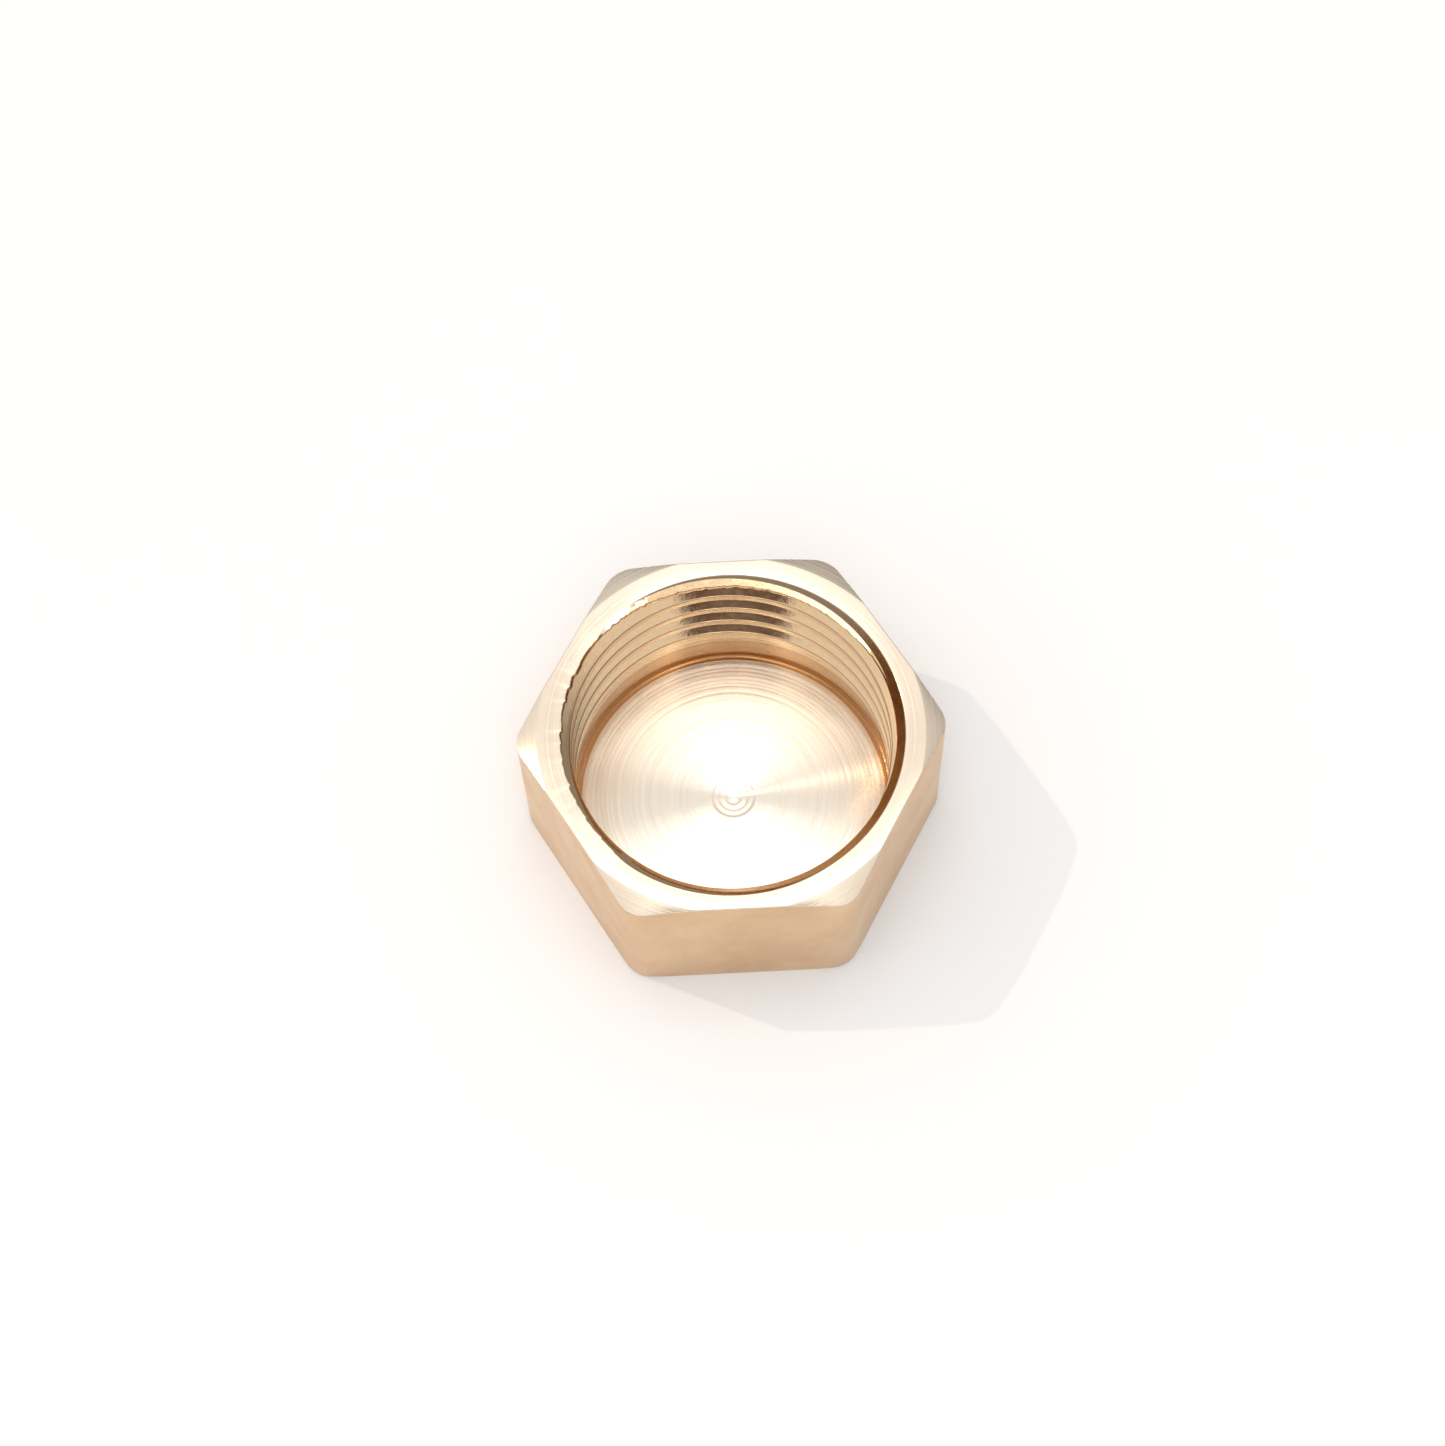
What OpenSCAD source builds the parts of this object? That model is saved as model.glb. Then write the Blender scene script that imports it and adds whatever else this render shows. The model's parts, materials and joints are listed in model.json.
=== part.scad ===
// Hexagon pipe cap with an internal right-hand pipe thread.
// The cap stands on its closed end. The thread axis is Z and the open mouth faces +Z.

/* [Hexagon] */
// Distance across two opposite flats
across_flats = 18; // [17.5:0.1:22]
// Height from the closed end to the mouth face
cap_height = 8.8; // [8.6:0.1:14]
// Radius of the drawn bar's six upright corners
corner_radius = 1.4; // [0.4:0.1:2]
// Diameter of the flat ring left by the mouth's corner chamfer
mouth_ring_d = 18.4; // [18.2:0.1:20]
// Diameter of the flat face left by the closed end's corner chamfer
closed_ring_d = 19.2; // [18.6:0.1:20]
// Slope of both corner chamfers, measured from the end face
chamfer_angle = 20; // [10:1:35]

/* [Thread] */
// Thread pitch: 19 turns to the inch
pitch = 1.337; // [1.2:0.001:1.4]
// Diameter at the bottom of the thread groove
major_d = 16.662; // [16.4:0.001:16.9]
// Diameter of the bore, which is also the thread's truncated crests
minor_d = 15.3; // [14.95:0.05:15.35]
// Whole angle between the groove's two flanks
thread_angle = 55; // [50:1:60]
// Height of the first full crest, on the +Y side
first_crest_z = 7.488; // [7.3:0.001:7.6]
// Turns of groove cut below the first crest's height, before the run-out
full_turns = 3.2; // [2:0.1:3.4]
// Turn over which the groove runs out to nothing
runout_turns = 0.6; // [0.3:0.1:0.8]

/* [Bore] */
// Diameter of the countersink at the mouth face
countersink_d = 16.52; // [16:0.01:17]
// Whole angle of the countersink's cone
countersink_angle = 72; // [60:1:90]
// Diameter of the relief between the thread and the floor
relief_d = 15.65; // [15.2:0.05:16]
// Height of the relief's top shoulder
relief_top_z = 3.05; // [2.6:0.05:3.3]
// Thickness of the closed end under the floor
floor_thickness = 0.7; // [0.6:0.1:2]
// Diameter of the faced floor disc
floor_disc_d = 15.15; // [15:0.05:15.3]
// Depth of the ring recess outside the floor disc
recess_depth = 0.1; // [0.05:0.05:0.3]

/* [Centre dimple] */
// Diameter of the shallow dimple that the facing tool leaves at the floor's centre
dimple_d = 2.2; // [1.5:0.1:3]
// Depth of the dimple
dimple_depth = 0.06; // [0.04:0.01:0.15]
// Diameter of the pit at the dimple's centre
pit_d = 0.56; // [0.4:0.02:0.8]
// Depth of the pit below the dimple
pit_depth = 0.06; // [0.04:0.01:0.15]
// Width of the slope that leads down into each
dimple_slope_width = 0.15; // [0.05:0.05:0.25]

/* [Hidden] */
// Plain round surfaces
$fn = 144;
// Clearance by which a cutting shape passes the surface that it cuts
overlap = 0.3;
circumscribed_r = across_flats / 2 / cos(30);
corner_centre_r = circumscribed_r - corner_radius / cos(30);
corner_steps = 10;
minor_r = minor_d / 2;
thread_depth = (major_d - minor_d) / 2;
flank_slope = tan(thread_angle / 2);
// The sharp form is cut off a sixth of its height from the root's tip,
// so the root is a sixth of the pitch wide.
root_half_width = pitch / 12;
steps_per_turn = 36;
// The flanks start just inside the crests, so that their flat steps never leave a skin.
crest_r = minor_r - 0.05;
// The groove's own height at azimuth 0, half a pitch above the first crest.
groove_z = first_crest_z + pitch / 2 - pitch / 4;
// The groove starts above the mouth, in clear air.
entry_turns = 0.8;
countersink_slope = tan(countersink_angle / 2);
countersink_depth = (countersink_d / 2 - minor_r) / countersink_slope;

// Part of the full thread depth left at a number of turns below azimuth 0.
function depth_share(turns) =
    turns <= full_turns ? 1 : max(0.02, 1 - (turns - full_turns) / runout_turns);

// Groove section at a number of turns down the helix, as points [radius, height].
// Its inner edge lies inside the bore, so that only the flanks and the root cut metal.
function groove_section(turns) =
    let (
        root_r = minor_r + thread_depth * depth_share(turns),
        crest_half_width = root_half_width + (root_r - crest_r) * flank_slope,
        inner_r = minor_r - overlap,
        z = groove_z - pitch * turns
    )
    [[inner_r, z + crest_half_width], [crest_r, z + crest_half_width],
     [root_r, z + root_half_width], [root_r, z - root_half_width],
     [crest_r, z - crest_half_width], [inner_r, z - crest_half_width]];

// The right-hand helical groove, swept downwards and clockwise seen from the mouth.
module thread_groove() {
    steps = round((entry_turns + full_turns + runout_turns) * steps_per_turn);
    points = [
        for (i = [0 : steps])
            let (turns = i / steps_per_turn - entry_turns)
            for (p = groove_section(turns))
                [p[0] * cos(-360 * turns), p[0] * sin(-360 * turns), p[1]]
    ];
    corners = len(groove_section(0));
    sides = [
        for (i = [0 : steps - 1], k = [0 : corners - 1])
            let (a = corners * i + k, b = corners * i + (k + 1) % corners)
            each [[a, b, b + corners], [a, b + corners, a + corners]]
    ];
    first_end = [for (k = [2 : corners - 1]) [0, k, k - 1]];
    last_end = [for (k = [2 : corners - 1]) [for (n = [0, k - 1, k]) n + corners * steps]];
    polyhedron(points, concat(sides, first_end, last_end), convexity = 8);
}

// Points around one corner of the bar, from one flat's end to the next flat's start.
function corner_arc(corner) = [
    for (i = [0 : corner_steps])
        let (centre_angle = 60 * corner, a = centre_angle - 30 + 60 * i / corner_steps)
        [corner_centre_r * cos(centre_angle) + corner_radius * cos(a),
         corner_centre_r * sin(centre_angle) + corner_radius * sin(a)]
];

// Drawn hexagon bar with rounded corners, two of its flats facing -Y and +Y.
module hexagon_bar() {
    linear_extrude(cap_height) polygon([for (corner = [0 : 5]) each corner_arc(corner)]);
}

// The round envelope that a lathe leaves: both ends chamfered back to a flat ring.
module turned_envelope() {
    rim_r = circumscribed_r + overlap;
    mouth_drop = (rim_r - mouth_ring_d / 2) * tan(chamfer_angle);
    closed_rise = (rim_r - closed_ring_d / 2) * tan(chamfer_angle);
    rotate_extrude()
        polygon([[0, 0], [closed_ring_d / 2, 0], [rim_r, closed_rise],
                 [rim_r, cap_height - mouth_drop], [mouth_ring_d / 2, cap_height], [0, cap_height]]);
}

// Everything the boring tools take out: bore, countersink, relief, floor recess and dimple.
module bored_hollow() {
    floor_z = floor_thickness;
    dimple_z = floor_z - dimple_depth;
    pit_z = dimple_z - pit_depth;
    top_z = cap_height + overlap;
    relief_r = relief_d / 2;
    shoulder_height = relief_r - minor_r;
    rotate_extrude()
        polygon([[0, pit_z], [pit_d / 2 - dimple_slope_width, pit_z], [pit_d / 2, dimple_z],
                 [dimple_d / 2 - dimple_slope_width, dimple_z], [dimple_d / 2, floor_z],
                 [floor_disc_d / 2, floor_z],
                 [floor_disc_d / 2, floor_z - recess_depth], [relief_r, floor_z - recess_depth],
                 [relief_r, relief_top_z - shoulder_height], [minor_r, relief_top_z],
                 [minor_r, cap_height - countersink_depth],
                 [countersink_d / 2 + overlap * countersink_slope, top_z], [0, top_z]]);
}

module cap_body() {
    color("#d9bd86")
        difference() {
            intersection() {
                hexagon_bar();
                turned_envelope();
            }
            bored_hollow();
            thread_groove();
        }
}

cap_body();
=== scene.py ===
import json
import math

import bmesh
import bpy
import numpy as np
from mathutils import Matrix, Vector


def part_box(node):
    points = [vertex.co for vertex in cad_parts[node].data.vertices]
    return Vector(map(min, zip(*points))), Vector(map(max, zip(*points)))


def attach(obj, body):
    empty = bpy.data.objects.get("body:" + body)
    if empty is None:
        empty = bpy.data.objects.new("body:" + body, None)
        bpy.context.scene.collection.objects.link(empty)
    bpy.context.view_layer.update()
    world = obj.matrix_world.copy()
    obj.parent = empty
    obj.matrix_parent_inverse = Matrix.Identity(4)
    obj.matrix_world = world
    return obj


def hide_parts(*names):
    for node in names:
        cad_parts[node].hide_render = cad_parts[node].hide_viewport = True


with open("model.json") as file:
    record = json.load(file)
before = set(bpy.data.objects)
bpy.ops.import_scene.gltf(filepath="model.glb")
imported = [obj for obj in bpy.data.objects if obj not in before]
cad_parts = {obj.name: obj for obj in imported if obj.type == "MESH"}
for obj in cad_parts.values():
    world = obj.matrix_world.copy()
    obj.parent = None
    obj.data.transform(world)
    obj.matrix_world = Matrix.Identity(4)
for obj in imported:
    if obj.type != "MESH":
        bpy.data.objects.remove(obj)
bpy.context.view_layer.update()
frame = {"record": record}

# ---------------------------------------------------------------------------
# Sizes, in millimetres. The hexagon, the height and the bore come from the frame.
# ---------------------------------------------------------------------------
MM = 0.001
box_low, box_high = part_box("cap_body")
thread_mount = next(m for m in frame["record"]["mounts"] if m["name"] == "thread")

cap_height = box_high.z / MM
apothem = box_high.y / MM
corner_reach = box_high.x / MM
circumscribed_r = apothem / math.cos(math.radians(30))
corner_r = (circumscribed_r - corner_reach) / (1 / math.cos(math.radians(30)) - 1)
corner_centre_r = corner_reach - corner_r

crest_r = thread_mount["dims"]["r_mm"]
root_r = 8.331
pitch = 1.337
root_half_width = pitch / 12
flank_slope = math.tan(math.radians(27.5))
groove_z = 7.488 + pitch / 4
full_turns = 3.2
runout_turns = 0.6

mouth_r = 8.26
countersink_slope = math.tan(math.radians(36))
relief_r = 7.825
relief_top = 3.05
floor_z = 0.7
floor_disc_r = 7.575
recess_depth = 0.1

# The facing tool leaves a shallow stepped dimple at the centre: edge radius, drop, slope width.
dimple_steps = [(1.04, 0.045, 0.22), (0.72, 0.03, 0.18), (0.36, 0.035, 0.2)]

mouth_ring_r = 9.2
closed_ring_r = 9.6
chamfer_slope = math.tan(math.radians(20))
# Where a flat lies inside the chamfer, only a fine broken edge is left.
broken_edge = 0.05

# The burr at the mouth. Spans are in degrees anticlockwise from +X, and each pair is a fade.
rolled_starts = (125, 155)
rolled_ends = (212, 240)
rolled_lowest_z = 8.3
rolled_least = 0.13
ledge_starts = (15, 45)
ledge_ends = (130, 155)
ledge_lowest_z = 7.9
# The ledge's flat top, as heights above the middle of the groove.
ledge_top = (0.453, 0.478)
ledge_least_r = 7.7
# Towards the left the ledge narrows by this much over this span.
ledge_narrows = 0.33
narrowing_span = (95, 150)
tooth_degrees = 7.3
fine_degrees = 3.1
# Where the rows on the first groove's flank are drawn on to its edge.
follow_starts = (15, 35)
follow_ends = (155, 185)

# Below this the inside is plain relief wall; above it the rows follow the thread.
wall_low = 2.6
lip = 0.05
wall_high = cap_height - lip
# From here up to wall_low the relief wall's rows are evenly spaced.
relief_even_rows_z = wall_low - 0.9

# How much is cut back from each corner of the end faces, and of the recess round the floor.
outer_rounding = 0.022
inner_rounding = 0.03

columns = 480
azimuth = np.linspace(0, 2 * math.pi, columns, endpoint=False)
turn_share = azimuth / (2 * math.pi)


# ---------------------------------------------------------------------------
# Shape
# ---------------------------------------------------------------------------
def soft_max(a, b, blend):
    """The larger of a and b, rounded over where they are within about blend of each other."""
    return (a + b + np.sqrt((a - b) ** 2 + blend ** 2)) / 2


def smooth_step(x, start, end):
    """0 before start and 1 after end, with an even S-curve between them."""
    share = np.clip((x - start) / (end - start), 0, 1)
    return share * share * (3 - 2 * share)


def hexagon_radius(angle):
    """Distance from the axis to the drawn bar's outline, with its rounded corners."""
    from_corner = (angle + math.radians(30)) % math.radians(60) - math.radians(30)
    tangent_angle = math.atan2(
        corner_r * math.sin(math.radians(30)),
        corner_centre_r + corner_r * math.cos(math.radians(30)),
    )
    flat = apothem / np.cos(math.radians(30) - np.abs(from_corner))
    inside = np.maximum(corner_r ** 2 - (corner_centre_r * np.sin(from_corner)) ** 2, 0)
    arc = corner_centre_r * np.cos(from_corner) + np.sqrt(inside)
    return np.where(np.abs(from_corner) < tangent_angle, arc, flat)


def groove_radius(share, z):
    """How far out the right-hand groove reaches. It climbs one pitch per turn anticlockwise."""
    turns = np.round((groove_z - z) / pitch + share) - share
    off_centre = np.abs(z - (groove_z - pitch * turns))
    left = np.clip(1 - (turns - full_turns) / runout_turns, 0, 1)
    bottom = crest_r + (root_r - crest_r) * left
    return bottom - soft_max(off_centre - root_half_width, 0, 0.03) / flank_slope


def burr(share, z, cone, groove):
    """Metal pushed inwards by the tap where the first groove breaks through the countersink."""
    above = cone - groove
    degrees = share * 360
    along = degrees + 1.7 * np.sin(degrees * 0.31) + 1.1 * np.sin(degrees * 0.83 + 1)
    tooth = (along / tooth_degrees) % 1
    fine = 0.5 + 0.5 * np.sin(along * 2 * math.pi / fine_degrees)

    # On the left the torn edge is rolled over, and reaches up to the mouth face.
    rolled = smooth_step(degrees, *rolled_starts) * (1 - smooth_step(degrees, *rolled_ends))
    rolled_strip = smooth_step(above, -0.06, 0.02) * (z > rolled_lowest_z)
    hooked = rolled_least + 0.08 * tooth ** 1.5 + 0.02 * fine

    # At the back it is a ledge with a flat top, which runs down to the right with the thread.
    ledge = smooth_step(degrees, *ledge_starts) * (1 - smooth_step(degrees, *ledge_ends))
    rise = z - groove_z - pitch * share
    under_top = 1 - smooth_step(rise, *ledge_top)
    ledge_strip = smooth_step(above, -0.3, -0.1) * under_top * (z > ledge_lowest_z)
    narrowing = ledge_narrows * smooth_step(degrees, *narrowing_span)
    ledge_r = ledge_least_r + narrowing + 0.05 * tooth + 0.05 * fine
    overhang = np.maximum(np.maximum(cone, groove) - ledge_r, 0)
    return rolled * rolled_strip * hooked + ledge * ledge_strip * overhang


def wall_radius(share, z):
    """The inner wall: bore, thread groove, countersink and relief together."""
    cone = mouth_r - (cap_height - z) * countersink_slope
    groove = groove_radius(share, z)
    relief_wall = relief_r - np.maximum(z - (relief_top - (relief_r - crest_r)), 0)
    radius = soft_max(np.full_like(z, crest_r), groove, 0.02)
    radius = soft_max(radius, cone, 0.015)
    radius = soft_max(radius, relief_wall, 0.02)
    return radius - burr(share, z, cone, groove)


def floor_height(radius):
    """Height of the faced floor, which steps down into the dimple."""
    height = floor_z
    for edge_r, drop, width in dimple_steps:
        height -= drop * (1 - smooth_step(radius, edge_r - width / 2, edge_r + width / 2))
    return height


def per_column(value):
    """One number, or one per column, as one per column."""
    return np.broadcast_to(np.asarray(value, float), (columns,))


def rounded_profile(corners, cut, steps=4):
    """Rows of (radius, height) through the corners, each inner corner rounded off by cut."""
    points = [np.stack([per_column(r), per_column(z)]) for r, z in corners]
    rows = [points[0]]
    for before, here, after in zip(points, points[1:], points[2:]):
        back = before - here
        on = after - here
        start = here + back * cut / np.linalg.norm(back, axis=0)
        end = here + on * cut / np.linalg.norm(on, axis=0)
        for k in range(steps + 1):
            t = k / steps
            rows.append((1 - t) ** 2 * start + 2 * t * (1 - t) * here + t ** 2 * end)
    rows.append(points[-1])
    return rows


def between(first, last, count):
    """Rows evenly spaced between two rows, without the two themselves."""
    return [first + (last - first) * k / (count + 1) for k in range(1, count + 1)]


def thread_row_offsets():
    """Row heights within one pitch, close together at the crest and root edges."""
    crest_edge = root_half_width + (root_r - crest_r) * flank_slope
    half = [root_half_width + d for d in (-0.03, 0, 0.03)]
    half += list(np.linspace(root_half_width + 0.1, crest_edge - 0.1, 3))
    half += [crest_edge + d for d in (-0.03, -0.01, 0.01, 0.03)]
    half += list(np.linspace(crest_edge + 0.07, pitch / 2 - 0.06, 2))
    return sorted([-h for h in half] + [0] + half + [pitch / 2])


def follow_lip(offset):
    """Draws the three rows on a groove's upper flank on to the edge that it leaves in the cone."""
    flank_rows = [row for row in thread_row_offsets() if row > root_half_width + 0.04]
    from_edge = dict(zip(flank_rows, (-0.035, 0, 0.035)))
    if offset not in from_edge:
        return 0
    groove_centre = groove_z + pitch * turn_share
    cone_there = mouth_r - (cap_height - groove_centre) * countersink_slope
    reach = root_r + root_half_width / flank_slope - cone_there
    edge = reach / (1 / flank_slope + countersink_slope)
    degrees = turn_share * 360
    share = smooth_step(degrees, *follow_starts) * (1 - smooth_step(degrees, *follow_ends))
    return share * (edge + from_edge[offset] - offset)


hexagon_r = hexagon_radius(azimuth)

# Faced floor, from its centre to the rim, then the ring recess and the plain relief wall.
floor_radii = np.concatenate([
    [0], *[np.linspace(r - w / 2, r + w / 2, 6) for r, _, w in reversed(dimple_steps)],
    np.linspace(1.7, floor_disc_r - 0.3, 4),
])
floor_rows = [np.stack([per_column(r), per_column(floor_height(r))]) for r in floor_radii]
recess_z = floor_z - recess_depth
relief_rows = rounded_profile([
    (floor_disc_r - 0.2, floor_z), (floor_disc_r, floor_z), (floor_disc_r, recess_z),
    (relief_r, recess_z), (relief_r, relief_even_rows_z)], inner_rounding, 3)
relief_rows += between(relief_rows[-1], np.stack([per_column(relief_r), per_column(wall_low)]), 3)

# The end faces and the hexagon, from the mouth's lip round to the closed end's centre.
lip_r = wall_radius(turn_share, np.full(columns, cap_height))
wall_top_r = wall_radius(turn_share, np.full(columns, wall_high))
mouth_chamfer_r = np.minimum(mouth_ring_r, hexagon_r - broken_edge)
closed_chamfer_r = np.minimum(closed_ring_r, hexagon_r - broken_edge)
mouth_edge_z = cap_height - (hexagon_r - mouth_chamfer_r) * chamfer_slope
closed_edge_z = (hexagon_r - closed_chamfer_r) * chamfer_slope
mouth_rows = rounded_profile([
    (wall_top_r, wall_high), (lip_r, cap_height), (mouth_chamfer_r, cap_height),
    (hexagon_r, mouth_edge_z), (hexagon_r, cap_height / 2)], outer_rounding, 4)
closed_rows = rounded_profile([
    (hexagon_r, cap_height / 2), (hexagon_r, closed_edge_z), (closed_chamfer_r, 0),
    (closed_chamfer_r - 0.6, 0)], outer_rounding, 4)
closed_rows += between(closed_rows[-1], np.zeros((2, columns)), 6)
closed_rows.append(np.zeros((2, columns)))

# Each face takes the finish of the tool that cut it.
TURNED, DRAWN, TAPPED, FACED, PARTED, BORED = range(6)


def add_rings(mesh, rows_rz):
    """A ring of vertices for each row of (radius, height), which are in millimetres."""
    rings = []
    for radius, height in rows_rz:
        ring = [
            mesh.verts.new((r * c * MM, r * s * MM, z * MM))
            for r, z, c, s in zip(radius, height, np.cos(azimuth), np.sin(azimuth))
        ]
        rings.append(ring)
    return rings


def skin(mesh, lower, upper, finish, wrap=None):
    """Faces between two rings. wrap gives the rings that the last column joins on to."""
    wrap_lower, wrap_upper = wrap or (lower, upper)
    for j in range(columns):
        last = j == columns - 1
        next_lower = wrap_lower[0] if last else lower[j + 1]
        next_upper = wrap_upper[0] if last else upper[j + 1]
        corners = list(dict.fromkeys((lower[j], upper[j], next_upper, next_lower)))
        if len(corners) > 2:
            mesh.faces.new(corners).material_index = finish


def skin_rows(mesh, rings, finishes):
    """Faces between each ring and the next, with one finish for each pair."""
    for lower, upper, finish in zip(rings, rings[1:], finishes):
        skin(mesh, lower, upper, finish)


def build_cap():
    mesh = bmesh.new()
    floor_rings = add_rings(mesh, floor_rows)
    skin_rows(mesh, floor_rings, [FACED] * len(floor_rings))
    relief_rings = add_rings(mesh, relief_rows)
    skin(mesh, floor_rings[-1], relief_rings[0], FACED)
    # Faced to the first third of the corner at the foot of the disc's edge, and bored beyond it.
    skin_rows(mesh, relief_rings, [FACED] * 6 + [BORED] * len(relief_rings))

    # The threaded wall's rows follow the helix, so each row runs on into the one a pitch up.
    # Where a row leaves the wall at either end it is held there, and the spare faces fold away.
    offsets = thread_row_offsets()
    lowest_turn = math.ceil((groove_z - wall_low) / pitch) + 2
    highest_turn = -2
    wall_rows = []
    for turn in range(lowest_turn, highest_turn - 1, -1):
        for offset in offsets:
            nudge = follow_lip(offset) if turn == 0 else 0
            z = groove_z - pitch * turn + offset + pitch * turn_share + nudge
            z = np.clip(z, wall_low, wall_high)
            wall_rows.append(np.stack([wall_radius(turn_share, z), z]))
    wall_rings = add_rings(mesh, wall_rows)
    per_turn = len(offsets)
    top = len(wall_rings) - 1
    for i in range(top):
        ahead = (wall_rings[min(i + per_turn, top)], wall_rings[min(i + per_turn + 1, top)])
        skin(mesh, wall_rings[i], wall_rings[i + 1], TAPPED, ahead)

    skin(mesh, relief_rings[-1], wall_rings[0], TAPPED)
    mouth_rings = add_rings(mesh, mouth_rows)
    skin(mesh, wall_rings[-1], mouth_rings[0], TAPPED)
    # The first corner is the lip and the next two bound the chamfer; five faces round each.
    skin_rows(mesh, mouth_rings, [TURNED] * 15 + [DRAWN] * len(mouth_rings))
    closed_rings = add_rings(mesh, closed_rows)
    skin(mesh, mouth_rings[-1], closed_rings[0], DRAWN)
    skin_rows(mesh, closed_rings, [DRAWN] * 5 + [PARTED] * len(closed_rings))

    same_place = 1e-8
    bmesh.ops.remove_doubles(mesh, verts=mesh.verts, dist=same_place)
    bmesh.ops.dissolve_degenerate(mesh, edges=mesh.edges, dist=same_place)
    bmesh.ops.triangulate(mesh, faces=[f for f in mesh.faces if len(f.verts) > 3])
    bmesh.ops.recalc_face_normals(mesh, faces=mesh.faces)
    data = bpy.data.meshes.new("brass_pipe_cap")
    mesh.to_mesh(data)
    mesh.free()
    data.shade_smooth()
    sharp_from_degrees = 38
    data.set_sharp_from_angle(angle=math.radians(sharp_from_degrees))
    cap = bpy.data.objects.new("brass_pipe_cap", data)
    bpy.context.scene.collection.objects.link(cap)
    return cap


# ---------------------------------------------------------------------------
# Finishes
# ---------------------------------------------------------------------------
def linear(hex_colour):
    """An sRGB hex colour as linear RGBA."""
    parts = [int(hex_colour[i:i + 2], 16) / 255 for i in (1, 3, 5)]
    curve = [p / 12.92 if p <= 0.04045 else ((p + 0.055) / 1.055) ** 2.4 for p in parts]
    return (*curve, 1)


def add_node(tree, kind, settings=None, links=None):
    """Adds a node. A setting is a property, or an input socket by name or number."""
    node = tree.nodes.new(kind)
    for name, value in (settings or {}).items():
        if isinstance(name, int) or name in node.inputs:
            node.inputs[name].default_value = value
        else:
            setattr(node, name, value)
    for name, source in (links or {}).items():
        tree.links.new(source, node.inputs[name])
    return node


def new_finish(name):
    """An empty material with its output, and the object's own coordinates in metres."""
    finish = bpy.data.materials.new(name)
    finish.use_nodes = True
    tree = finish.node_tree
    tree.nodes.clear()
    out = add_node(tree, "ShaderNodeOutputMaterial")
    place = add_node(tree, "ShaderNodeTexCoord")
    return finish, tree, out, place.outputs["Object"]


def distance_from_axis(tree, place):
    """Distance from the cap's axis, in metres."""
    flat = add_node(tree, "ShaderNodeVectorMath",
                    {"operation": "MULTIPLY", 1: (1, 1, 0)}, {0: place})
    length = add_node(tree, "ShaderNodeVectorMath",
                      {"operation": "LENGTH"}, {0: flat.outputs["Vector"]})
    return length.outputs["Value"]


def per_mm(spacing_mm):
    """Noise scale that gives features about spacing_mm apart in an object measured in metres."""
    return 1 / (spacing_mm * MM)


def rings(tree, radius, spacing_mm, detail=2):
    """Concentric tool marks: noise that changes only with the distance from the axis."""
    noise = add_node(tree, "ShaderNodeTexNoise",
                     {"noise_dimensions": "1D", "Scale": per_mm(spacing_mm), "Detail": detail},
                     {"W": radius})
    return noise.outputs["Fac"]


def mottle(tree, place, spacing_mm, stretch=(1, 1, 1)):
    """Cloudy noise. A stretch below 1 draws it out along that axis."""
    mapped = add_node(tree, "ShaderNodeMapping", {"Scale": stretch}, {"Vector": place})
    noise = add_node(tree, "ShaderNodeTexNoise",
                     {"Scale": per_mm(spacing_mm), "Detail": 4, "Roughness": 0.6},
                     {"Vector": mapped.outputs["Vector"]})
    return noise.outputs["Fac"]


def ramp_value(tree, source, low, high):
    """source, spread to run from low to high."""
    node = add_node(tree, "ShaderNodeMapRange",
                    {"From Min": 0.3, "From Max": 0.7, "To Min": low, "To Max": high},
                    {"Value": source})
    return node.outputs["Result"]


def blend_colour(tree, factor, first, second):
    """A colour that runs from first to second with the factor."""
    node = add_node(tree, "ShaderNodeMix",
                    {"data_type": "RGBA", 6: linear(first), 7: linear(second)}, {0: factor})
    return node.outputs[2]


def relief(tree, height, depth_mm, under=None):
    """A bumped normal, laid over the one under it if there is one."""
    links = {"Height": height}
    if under:
        links["Normal"] = under
    node = add_node(tree, "ShaderNodeBump", {"Strength": 1, "Distance": depth_mm * MM}, links)
    return node.outputs["Normal"]


def brass_shader(tree, out, colour, roughness, normal, anisotropy, quarter_turn):
    """Bare metal whose shine is drawn out along or across the tool's path round the axis."""
    tangent = add_node(tree, "ShaderNodeTangent", {"direction_type": "RADIAL", "axis": "Z"})
    shader = add_node(
        tree, "ShaderNodeBsdfPrincipled",
        {"Metallic": 1, "Anisotropic": anisotropy, "Anisotropic Rotation": quarter_turn},
        {"Base Color": colour, "Roughness": roughness, "Normal": normal,
         "Tangent": tangent.outputs["Tangent"]})
    tree.links.new(shader.outputs["BSDF"], out.inputs["Surface"])


def turned_brass():
    """Lathe-turned end face: fine rings 0.12 mm apart draw the shine out from the axis."""
    finish, tree, out, place = new_finish("turned_brass")
    radius = distance_from_axis(tree, place)
    marks = rings(tree, radius, 0.12)
    cloud = mottle(tree, place, 2.5)
    colour = blend_colour(tree, cloud, "#f0dfca", "#ead7be")
    roughness = ramp_value(tree, marks, 0.2, 0.3)
    normal = relief(tree, marks, 0.0009, relief(tree, cloud, 0.004))
    brass_shader(tree, out, colour, roughness, normal, 0.8, 0.25)
    return finish


def drawn_brass():
    """Cold-drawn hexagon bar: a satin skin with faint upright die lines and dull patches."""
    finish, tree, out, place = new_finish("drawn_brass")
    lines = mottle(tree, place, 0.16, (1, 1, 0.04))
    patches = mottle(tree, place, 2.6)
    grain = mottle(tree, place, 0.12)
    colour = blend_colour(tree, ramp_value(tree, patches, 0, 1), "#e3c5a0", "#d9b892")
    roughness = ramp_value(tree, patches, 0.36, 0.46)
    normal = relief(tree, lines, 0.0035, relief(tree, grain, 0.0045))
    brass_shader(tree, out, colour, roughness, normal, 0.35, 0)
    return finish


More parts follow.
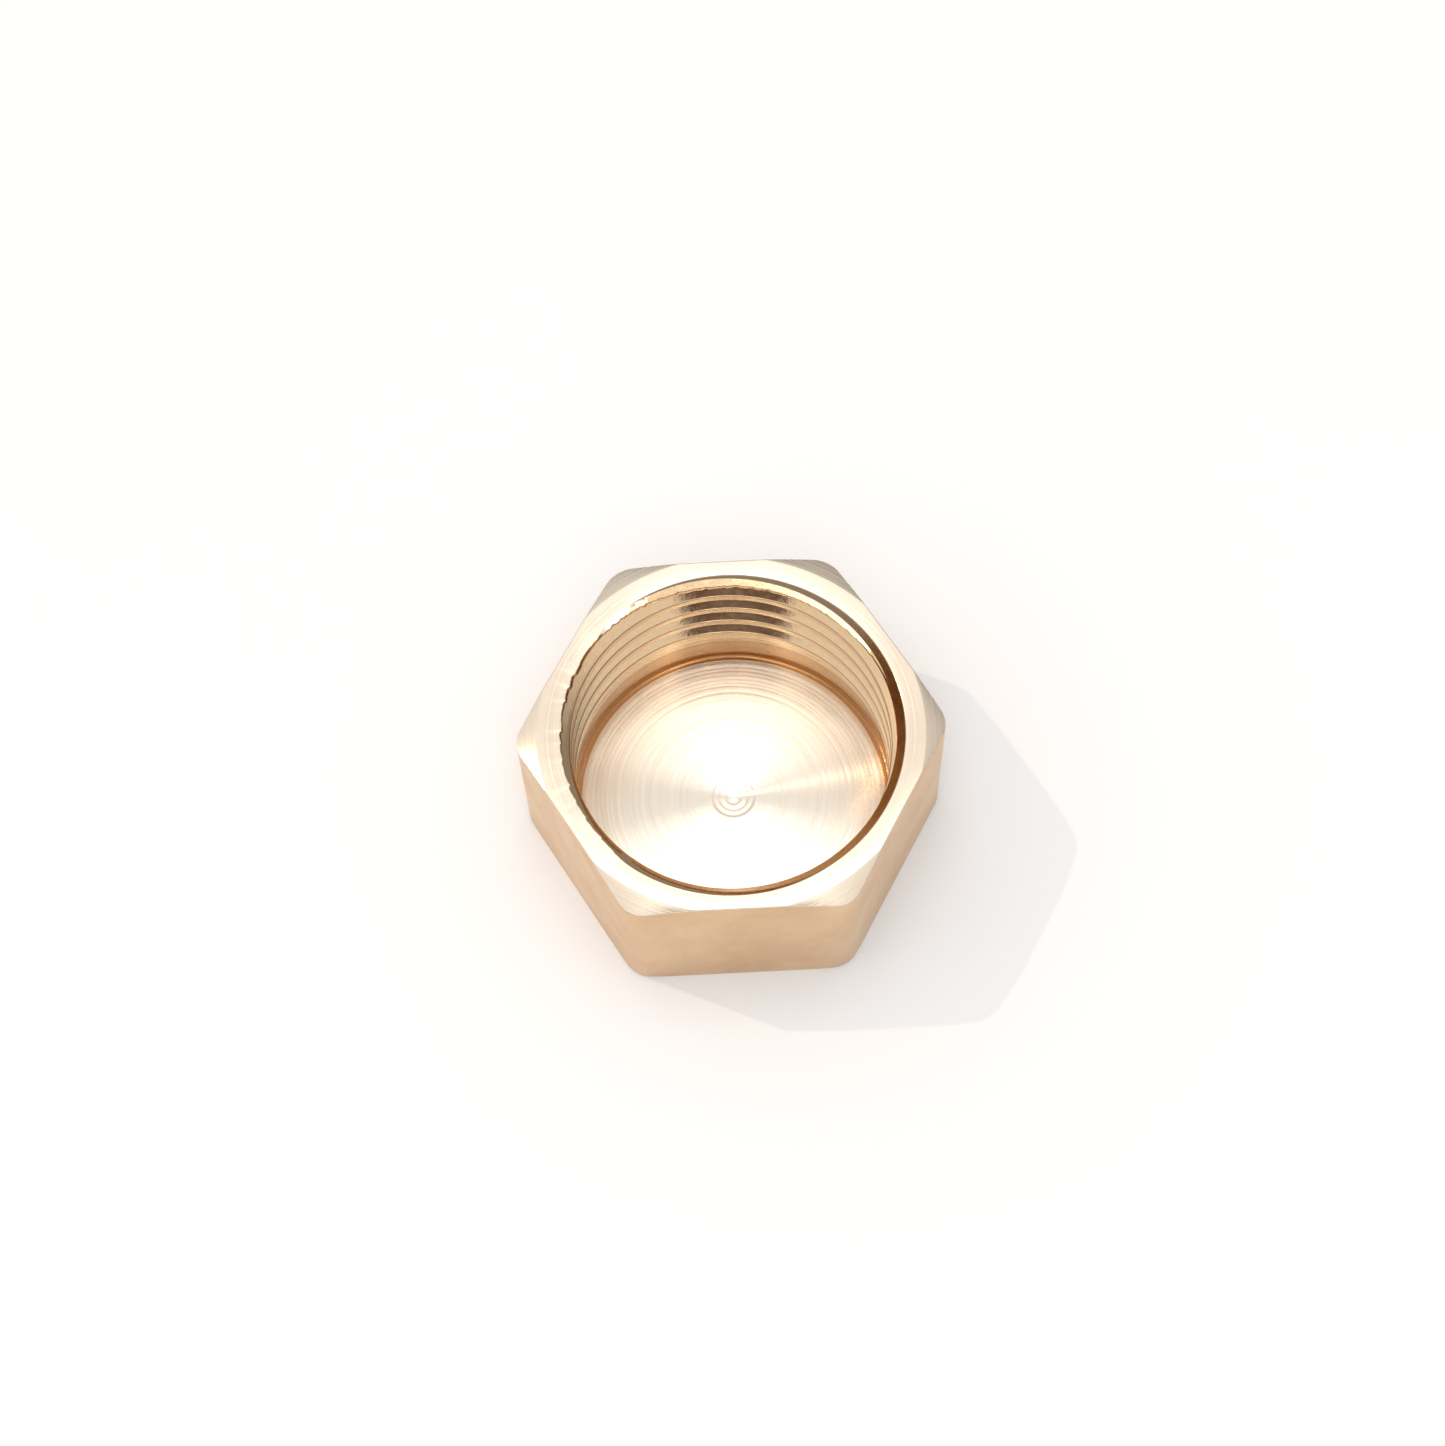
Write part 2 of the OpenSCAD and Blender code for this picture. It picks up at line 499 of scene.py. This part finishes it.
def tapped_brass():
    """Tapped thread, crest lands and countersink: bright, with chatter marks from the tool."""
    finish, tree, out, place = new_finish("tapped_brass")
    chatter = mottle(tree, place, 0.3, (1, 1, 2))
    grain = mottle(tree, place, 0.08)
    colour = blend_colour(tree, chatter, "#e8caa2", "#deba90")
    roughness = ramp_value(tree, chatter, 0.09, 0.17)
    normal = relief(tree, chatter, 0.0045, relief(tree, grain, 0.0006))
    brass_shader(tree, out, colour, roughness, normal, 0.3, 0.25)
    return finish


def faced_brass():
    """Faced floor: crisp feed rings with broader bands where the cut changed."""
    finish, tree, out, place = new_finish("faced_brass")
    radius = distance_from_axis(tree, place)
    feed = rings(tree, radius, 0.17)
    bands = rings(tree, radius, 0.55, 3)
    colour = blend_colour(tree, bands, "#f9efdf", "#f4e6d0")
    roughness = ramp_value(tree, feed, 0.18, 0.27)
    normal = relief(tree, feed, 0.0024, relief(tree, bands, 0.005))
    brass_shader(tree, out, colour, roughness, normal, 1, 0.25)
    return finish


def parted_brass():
    """Parted-off closed end: coarser rings from the parting blade, a little dull."""
    finish, tree, out, place = new_finish("parted_brass")
    radius = distance_from_axis(tree, place)
    marks = rings(tree, radius, 0.22, 3)
    cloud = mottle(tree, place, 3)
    colour = blend_colour(tree, cloud, "#e6cba8", "#d6b592")
    roughness = ramp_value(tree, marks, 0.26, 0.4)
    normal = relief(tree, marks, 0.008)
    brass_shader(tree, out, colour, roughness, normal, 0.6, 0.25)
    return finish


def bored_brass_painted_shade():
    """Bored relief under the thread: close rings round the wall and a dull shine, with a browner,
    darker colour that is painted shade for the deep recess.
    """
    finish, tree, out, place = new_finish("bored_brass_painted_shade")
    marks = mottle(tree, place, 0.18, (0.1, 0.1, 1))
    # These browner, darker colours are painted shade for the recess under the thread, not a
    # different metal.
    colour = blend_colour(tree, marks, "#d3aa7e", "#c3996c")
    roughness = ramp_value(tree, marks, 0.14, 0.24)
    normal = relief(tree, marks, 0.003)
    brass_shader(tree, out, colour, roughness, normal, 0.4, 0.25)
    return finish


def white_card():
    """Matt white card under the cap, whose shade drifts a very little across it."""
    finish, tree, out, place = new_finish("white_card")
    shade = mottle(tree, place, 60)
    colour = blend_colour(tree, shade, "#e9e7e5", "#e7e5e3")
    shader = add_node(tree, "ShaderNodeBsdfPrincipled",
                      {"Roughness": 0.9, "Specular IOR Level": 0.1}, {"Base Color": colour})
    tree.links.new(shader.outputs["BSDF"], out.inputs["Surface"])
    return finish


def dark_cloth():
    """Dull dark brown cover on the studio's viewing head, seen only as a reflection."""
    finish, tree, out, _ = new_finish("dark_cloth")
    shader = add_node(tree, "ShaderNodeBsdfPrincipled",
                      {"Base Color": linear("#422619"), "Roughness": 1})
    tree.links.new(shader.outputs["BSDF"], out.inputs["Surface"])
    return finish


# ---------------------------------------------------------------------------
# Studio
# ---------------------------------------------------------------------------
def flat_sheet(name, outline, finish):
    """One flat face through the outline's points, in metres."""
    mesh = bmesh.new()
    mesh.faces.new([mesh.verts.new(p) for p in outline])
    data = bpy.data.meshes.new(name)
    mesh.to_mesh(data)
    mesh.free()
    data.materials.append(finish)
    sheet = bpy.data.objects.new(name, data)
    bpy.context.scene.collection.objects.link(sheet)
    return sheet


def direction(around, above):
    """Unit vector to a place around degrees anticlockwise from +X and above degrees up."""
    a, e = math.radians(around), math.radians(above)
    return Vector((math.cos(a) * math.cos(e), math.sin(a) * math.cos(e), math.sin(e)))


def add_camera():
    """A 74 mm lens, 141 mm from the mouth, nearly in front and 66 degrees up."""
    aim = Vector((-0.383, 0.407, cap_height)) * MM
    back = direction(-90.427, 65.733)
    distance_mm = 140.964
    roll_degrees = -2.462
    data = bpy.data.cameras.new("camera")
    data.lens = 74.2
    data.sensor_width = 36
    data.clip_start = 0.005
    data.clip_end = 10
    camera = bpy.data.objects.new("camera", data)
    bpy.context.scene.collection.objects.link(camera)
    level = (-back).to_track_quat("-Z", "Y").to_matrix().to_4x4()
    roll = Matrix.Rotation(math.radians(roll_degrees), 4, "Z")
    camera.matrix_world = Matrix.Translation(aim + back * distance_mm * MM) @ level @ roll
    bpy.context.scene.camera = camera
    return camera


def add_studio(camera):
    """The floor, the head that the brass reflects, the two lamps and the room. Sizes in metres."""
    reach = 1.5
    flat_sheet("studio_floor", [(-reach, -reach, 0), (reach, -reach, 0),
                                (reach, reach, 0), (-reach, reach, 0)], white_card())
    # The dark head is a disc just behind the camera, and shows only in reflections.
    head_r = 0.043
    behind_camera = 0.002
    corners = [(head_r * math.cos(a), head_r * math.sin(a), behind_camera)
               for a in np.linspace(0, 2 * math.pi, 24, endpoint=False)]
    head = flat_sheet("viewing_head", corners, dark_cloth())
    head.matrix_world = camera.matrix_world
    head.visible_camera = False
    head.visible_shadow = False
    head.visible_diffuse = False

    lamp = bpy.data.lights.new("key_lamp", "SUN")
    lamp.energy = 0.5
    lamp.color = linear("#ffe9d2")[:3]
    lamp.angle = math.radians(0.8)
    key = bpy.data.objects.new("key_lamp", lamp)
    key.rotation_euler = direction(155.2, 48.8).to_track_quat("Z", "Y").to_euler()
    bpy.context.scene.collection.objects.link(key)

    # A long soft panel overhead, running away from the viewer, gives the turned faces their shine.
    panel = bpy.data.lights.new("overhead_panel", "AREA")
    panel.shape = "RECTANGLE"
    panel.size = 0.3
    panel.size_y = 0.8
    panel.energy = 1.85
    overhead = bpy.data.objects.new("overhead_panel", panel)
    overhead.location = (0, -0.19, 0.6)
    overhead.visible_camera = False
    bpy.context.scene.collection.objects.link(overhead)

    # The room is bright above, dimmer towards the horizon, and dimmest on the right.
    world = bpy.data.worlds.new("white_room")
    world.use_nodes = True
    tree = world.node_tree
    tree.nodes.clear()
    toward = add_node(tree, "ShaderNodeTexCoord")
    height = add_node(tree, "ShaderNodeVectorMath",
                      {"operation": "DOT_PRODUCT", 1: (-0.25, 0, 1)},
                      {0: toward.outputs["Generated"]})
    strength = add_node(tree, "ShaderNodeMapRange",
                        {"From Min": 0.36, "From Max": 0.56, "To Min": 0.34, "To Max": 1.0},
                        {"Value": height.outputs["Value"]})
    light = add_node(tree, "ShaderNodeBackground", {"Color": linear("#fbfcff")},
                     {"Strength": strength.outputs["Result"]})
    add_node(tree, "ShaderNodeOutputWorld", None, {"Surface": light.outputs["Background"]})
    bpy.context.scene.world = world
    bpy.context.scene.view_settings.view_transform = "Standard"


cap = build_cap()
for make_finish in (turned_brass, drawn_brass, tapped_brass, faced_brass, parted_brass,
                    bored_brass_painted_shade):
    cap.data.materials.append(make_finish())
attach(cap, "root")
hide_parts("cap_body")
add_studio(add_camera())
